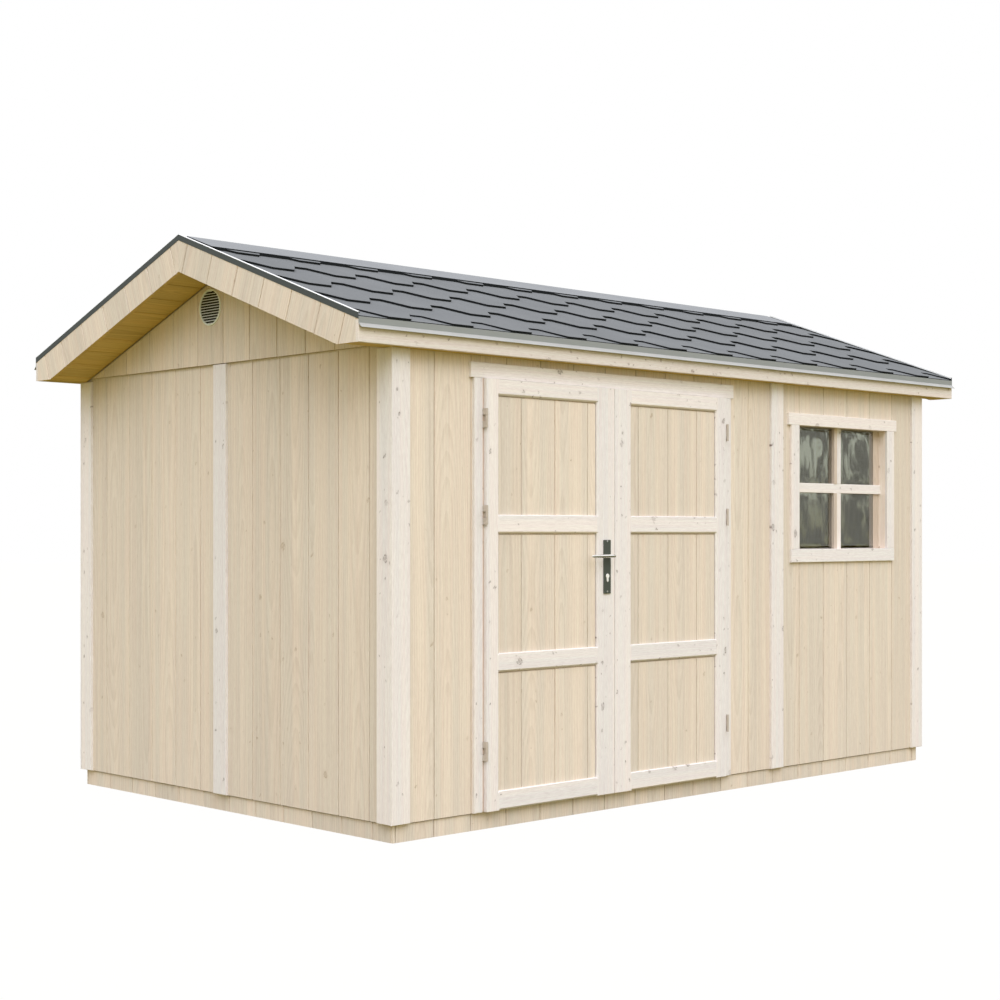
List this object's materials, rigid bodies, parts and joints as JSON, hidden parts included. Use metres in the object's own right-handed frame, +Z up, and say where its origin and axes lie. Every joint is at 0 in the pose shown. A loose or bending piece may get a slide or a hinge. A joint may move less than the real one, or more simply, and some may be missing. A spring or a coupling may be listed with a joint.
{
  "type": "wooden garden shed",
  "caption": "Board-panel garden shed with a low gable roof of hexagonal shingles, boxed eaves, an outward double door with a lever handle, a cross-bar window and round gable vents.",
  "frame": {"origin": "on the ground under the middle of the roof outline, which is the middle of the floor", "axes": "+X along the front, from the door to the window; +Y from the front to the back; +Z up"},
  "size_m": [4.2824, 2.5534, 2.5869],
  "materials": {
    "cladding": "raw planed softwood boards",
    "trim": "pale planed knotty softwood",
    "structure": "raw sawn softwood",
    "soffit": "raw planed softwood boards",
    "shingle": "matt mineral grit on bitumen",
    "drip_sheet": "satin grey-green coating",
    "verge_sheet": "satin dark grey coating",
    "vent": "matt pale grey",
    "hinge": "galvanised",
    "plate": "satin dark grey-green",
    "lever": "satin",
    "cylinder": "bright nickel",
    "glass": "clear"
  },
  "bodies": {
    "shed": {"base_skirts": "cladding", "front_wall_left": "cladding", "front_wall_over_door": "cladding", "front_wall_middle": "cladding", "front_wall_window_panel": "cladding", "back_wall": "cladding", "left_wall": "cladding", "right_wall": "cladding", "left_gable": "cladding", "right_gable": "cladding", "verge_fascias": "cladding", "corner_trims": "trim", "battens": "trim", "door_casing": "trim", "door_threshold": "trim", "window_casing": "trim", "window_frame": "trim", "eaves_fascias": "trim", "bearers": "structure", "floor": "structure", "long_wall_plates": "structure", "end_wall_plates": "structure", "wall_studs": "structure", "headers": "structure", "rafters": "structure", "ridge_board": "structure", "roof_deck": "structure", "verge_soffits": "soffit", "eaves_soffits": "soffit", "shingles": "shingle", "ridge_cap": "shingle", "eaves_drips": "drip_sheet", "verge_flashings": "verge_sheet", "gable_vents": "vent", "frame_hinges": "hinge", "window_glass": "glass"},
    "left_door": {"left_door_frame": "trim", "left_door_boards": "cladding", "left_door_hinges": "hinge", "handle_plates": "plate", "lock_cylinder": "cylinder"},
    "right_door": {"right_door_frame": "trim", "right_door_boards": "cladding", "right_door_hinges": "hinge"},
    "lever": {"door_lever": "lever"}
  },
  "joints": [
    {"name": "left_door_hinge", "type": "hinge", "parent": "shed", "child": "left_door", "pos_m": [-1.416, -1.2265, 0.078], "axis": [0, 0, -1], "range_deg": [0, 165]},
    {"name": "right_door_hinge", "type": "hinge", "parent": "shed", "child": "right_door", "pos_m": [0.192, -1.2265, 0.078], "axis": [0, 0, 1], "range_deg": [0, 165]},
    {"name": "lever_turn", "type": "hinge", "parent": "left_door", "child": "lever", "pos_m": [-0.6665, -1.2205, 1.154], "axis": [0, -1, 0], "range_deg": [0, 40], "stiffness_Nm_per_rad": 1.5, "springref_deg": -20.05}
  ]
}
